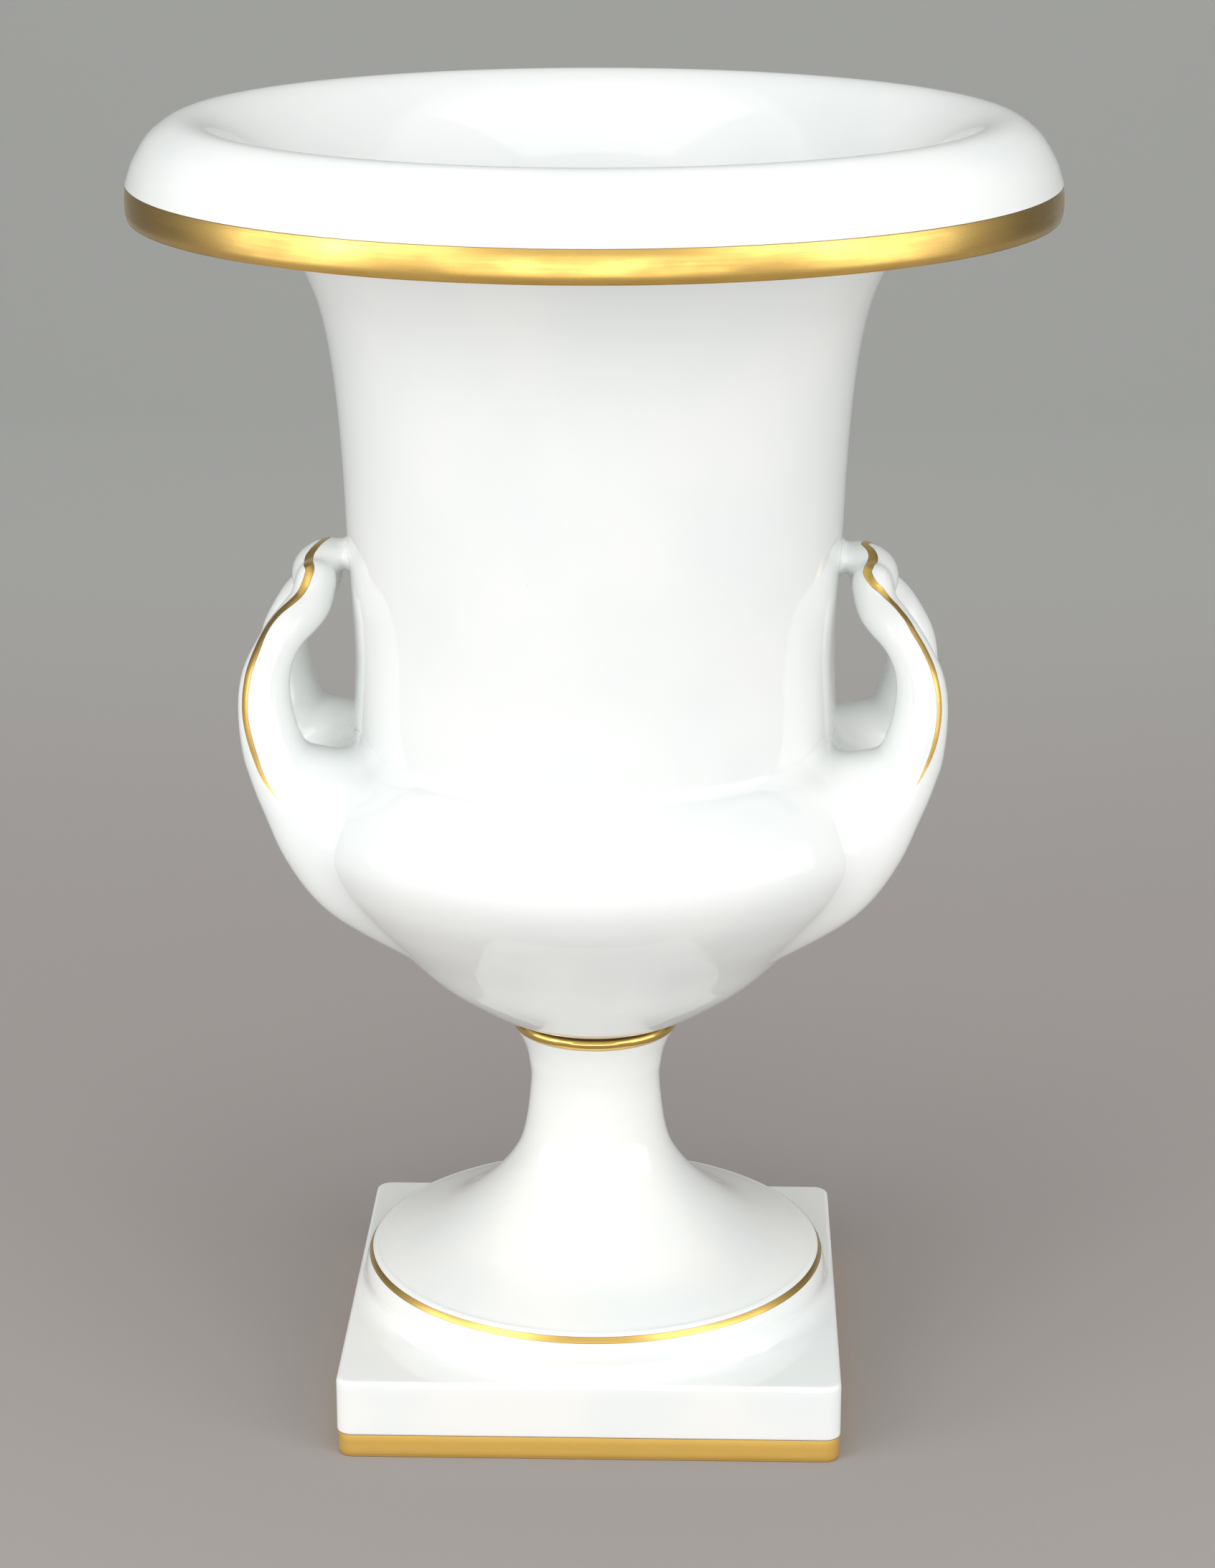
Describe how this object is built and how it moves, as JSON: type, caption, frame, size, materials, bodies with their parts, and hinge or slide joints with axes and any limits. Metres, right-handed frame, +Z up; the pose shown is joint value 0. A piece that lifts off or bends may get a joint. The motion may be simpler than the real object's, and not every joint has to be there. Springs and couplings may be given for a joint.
{
  "type": "krater",
  "caption": "Campana-form porcelain vase: flared bell with rolled gilded lip, swelling bowl, upturned wishbone handles, trumpet foot on a square plinth, drawn together by a tie rod.",
  "frame": {"origin": "centre of the square plinth's underside, on the surface that the vase stands on", "axes": "+Z up through the stem and bell, +X through the right handle, -Y towards the viewer of the front"},
  "size_m": [0.334, 0.334, 0.4809],
  "materials": {
    "porcelain": "white glossy glaze",
    "gilding": "fired gold, satin to polished",
    "brass": "plain turned brass",
    "steel": "plain steel",
    "cork": "pressed cork",
    "felt": "dense felt"
  },
  "bodies": {
    "root": {"flared_bell": "porcelain", "rim_gilding": "gilding", "bowl": "porcelain", "right_handle": "porcelain", "left_handle": "porcelain", "gilt_collar": "gilding", "foot_and_plinth": "porcelain", "foot_line_gilding": "gilding", "plinth_gilding": "gilding", "joint_cork": "cork", "tie_rod": "steel", "top_cushion": "cork", "top_washer": "brass", "top_nut": "brass", "bottom_felt_ring": "felt", "bottom_plate": "steel", "bottom_washer": "brass", "bottom_nut": "brass"}
  },
  "joints": []
}
